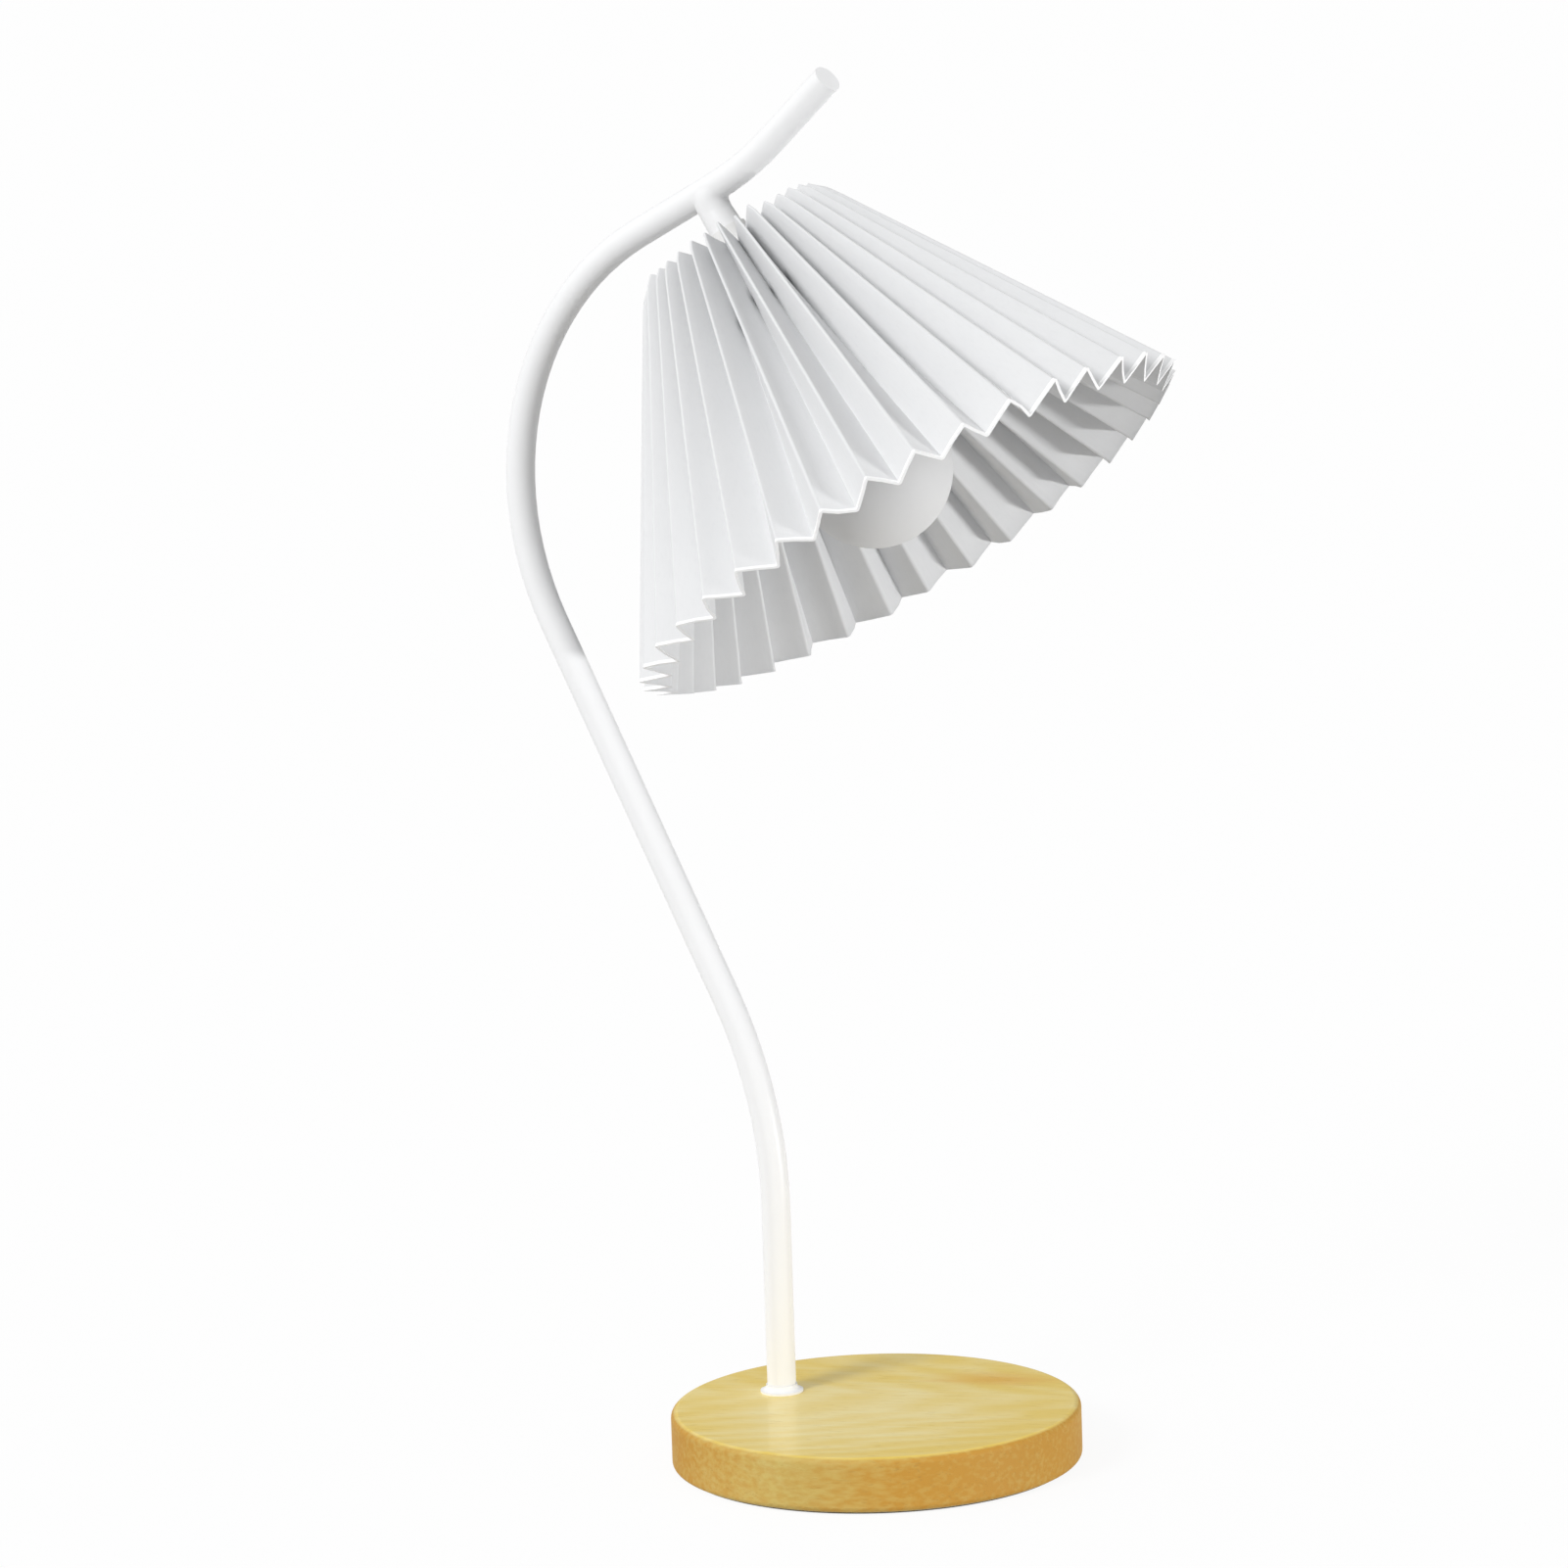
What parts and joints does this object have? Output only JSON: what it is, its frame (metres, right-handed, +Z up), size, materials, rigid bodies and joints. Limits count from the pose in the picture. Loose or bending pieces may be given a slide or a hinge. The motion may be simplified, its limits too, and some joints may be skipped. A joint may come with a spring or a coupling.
{
  "type": "pleated table lamp",
  "caption": "Table lamp with a round wooden base, a bowed white tube stem and a pleated cone shade hung on a short branch over a screw-in globe bulb.",
  "frame": {"origin": "middle of the base, on the surface that the lamp stands on", "axes": "+Z up, +X from the base's middle towards the open side of the shade; the stem is bent in the XZ plane"},
  "size_m": [0.266, 0.223, 0.5113],
  "materials": {
    "wood": "clear matt lacquer over straight pale grain",
    "felt": "pressed felt",
    "plain_steel": "oiled plate",
    "zinc": "zinc plated",
    "white_paint": "satin powder coat",
    "brass": "bare brass",
    "holder_white": "moulded, half gloss",
    "steatite": "unglazed",
    "pleat_sheet": "stiff folded lampshade paper, matt",
    "opal": "opal diffuser, glossy",
    "bulb_white": "moulded",
    "cap_metal": "pressed, bright",
    "black_insulator": "moulded",
    "solder": "tinned",
    "lead_cover": "extruded",
    "terminal_white": "moulded",
    "bush_white": "moulded"
  },
  "bodies": {
    "stand": {"base_disc": "wood", "base_pad": "felt", "ballast_plate": "plain_steel", "ballast_screws": "zinc", "stem_tube": "white_paint", "tip_plug": "white_paint", "stem_collar": "white_paint", "stem_washer": "zinc", "stem_nut": "zinc", "branch_stub": "white_paint", "holder_nipple": "brass", "holder_cap": "holder_white", "holder_lock_screw": "zinc", "holder_body": "holder_white", "holder_insert": "steatite", "screw_shell": "brass", "centre_contact": "brass", "stem_lead": "lead_cover", "terminal_block": "terminal_white", "terminal_screws": "zinc", "cord_bush": "bush_white"},
    "shade": {"shade_pleats": "pleat_sheet", "shade_frame": "white_paint"},
    "clamp_ring": {"shade_ring": "holder_white"},
    "bulb": {"bulb_globe": "opal", "bulb_housing": "bulb_white", "bulb_board": "cap_metal", "bulb_cap": "cap_metal", "bulb_insulator": "black_insulator", "bulb_contact": "solder"}
  },
  "joints": [
    {"name": "shade_turn", "type": "hinge", "parent": "stand", "child": "shade", "pos_m": [-0.05818, 0, 0.46387], "axis": [0.5878, 0, -0.809], "continuous": true},
    {"name": "ring_turn", "type": "hinge", "parent": "stand", "child": "clamp_ring", "pos_m": [-0.05818, 0, 0.46387], "axis": [0.5878, 0, -0.809], "range_deg": [0, 1080]},
    {"name": "bulb_turn", "type": "hinge", "parent": "stand", "child": "bulb", "pos_m": [-0.05818, 0, 0.46387], "axis": [0.5878, 0, -0.809], "range_deg": [0, 900]}
  ]
}
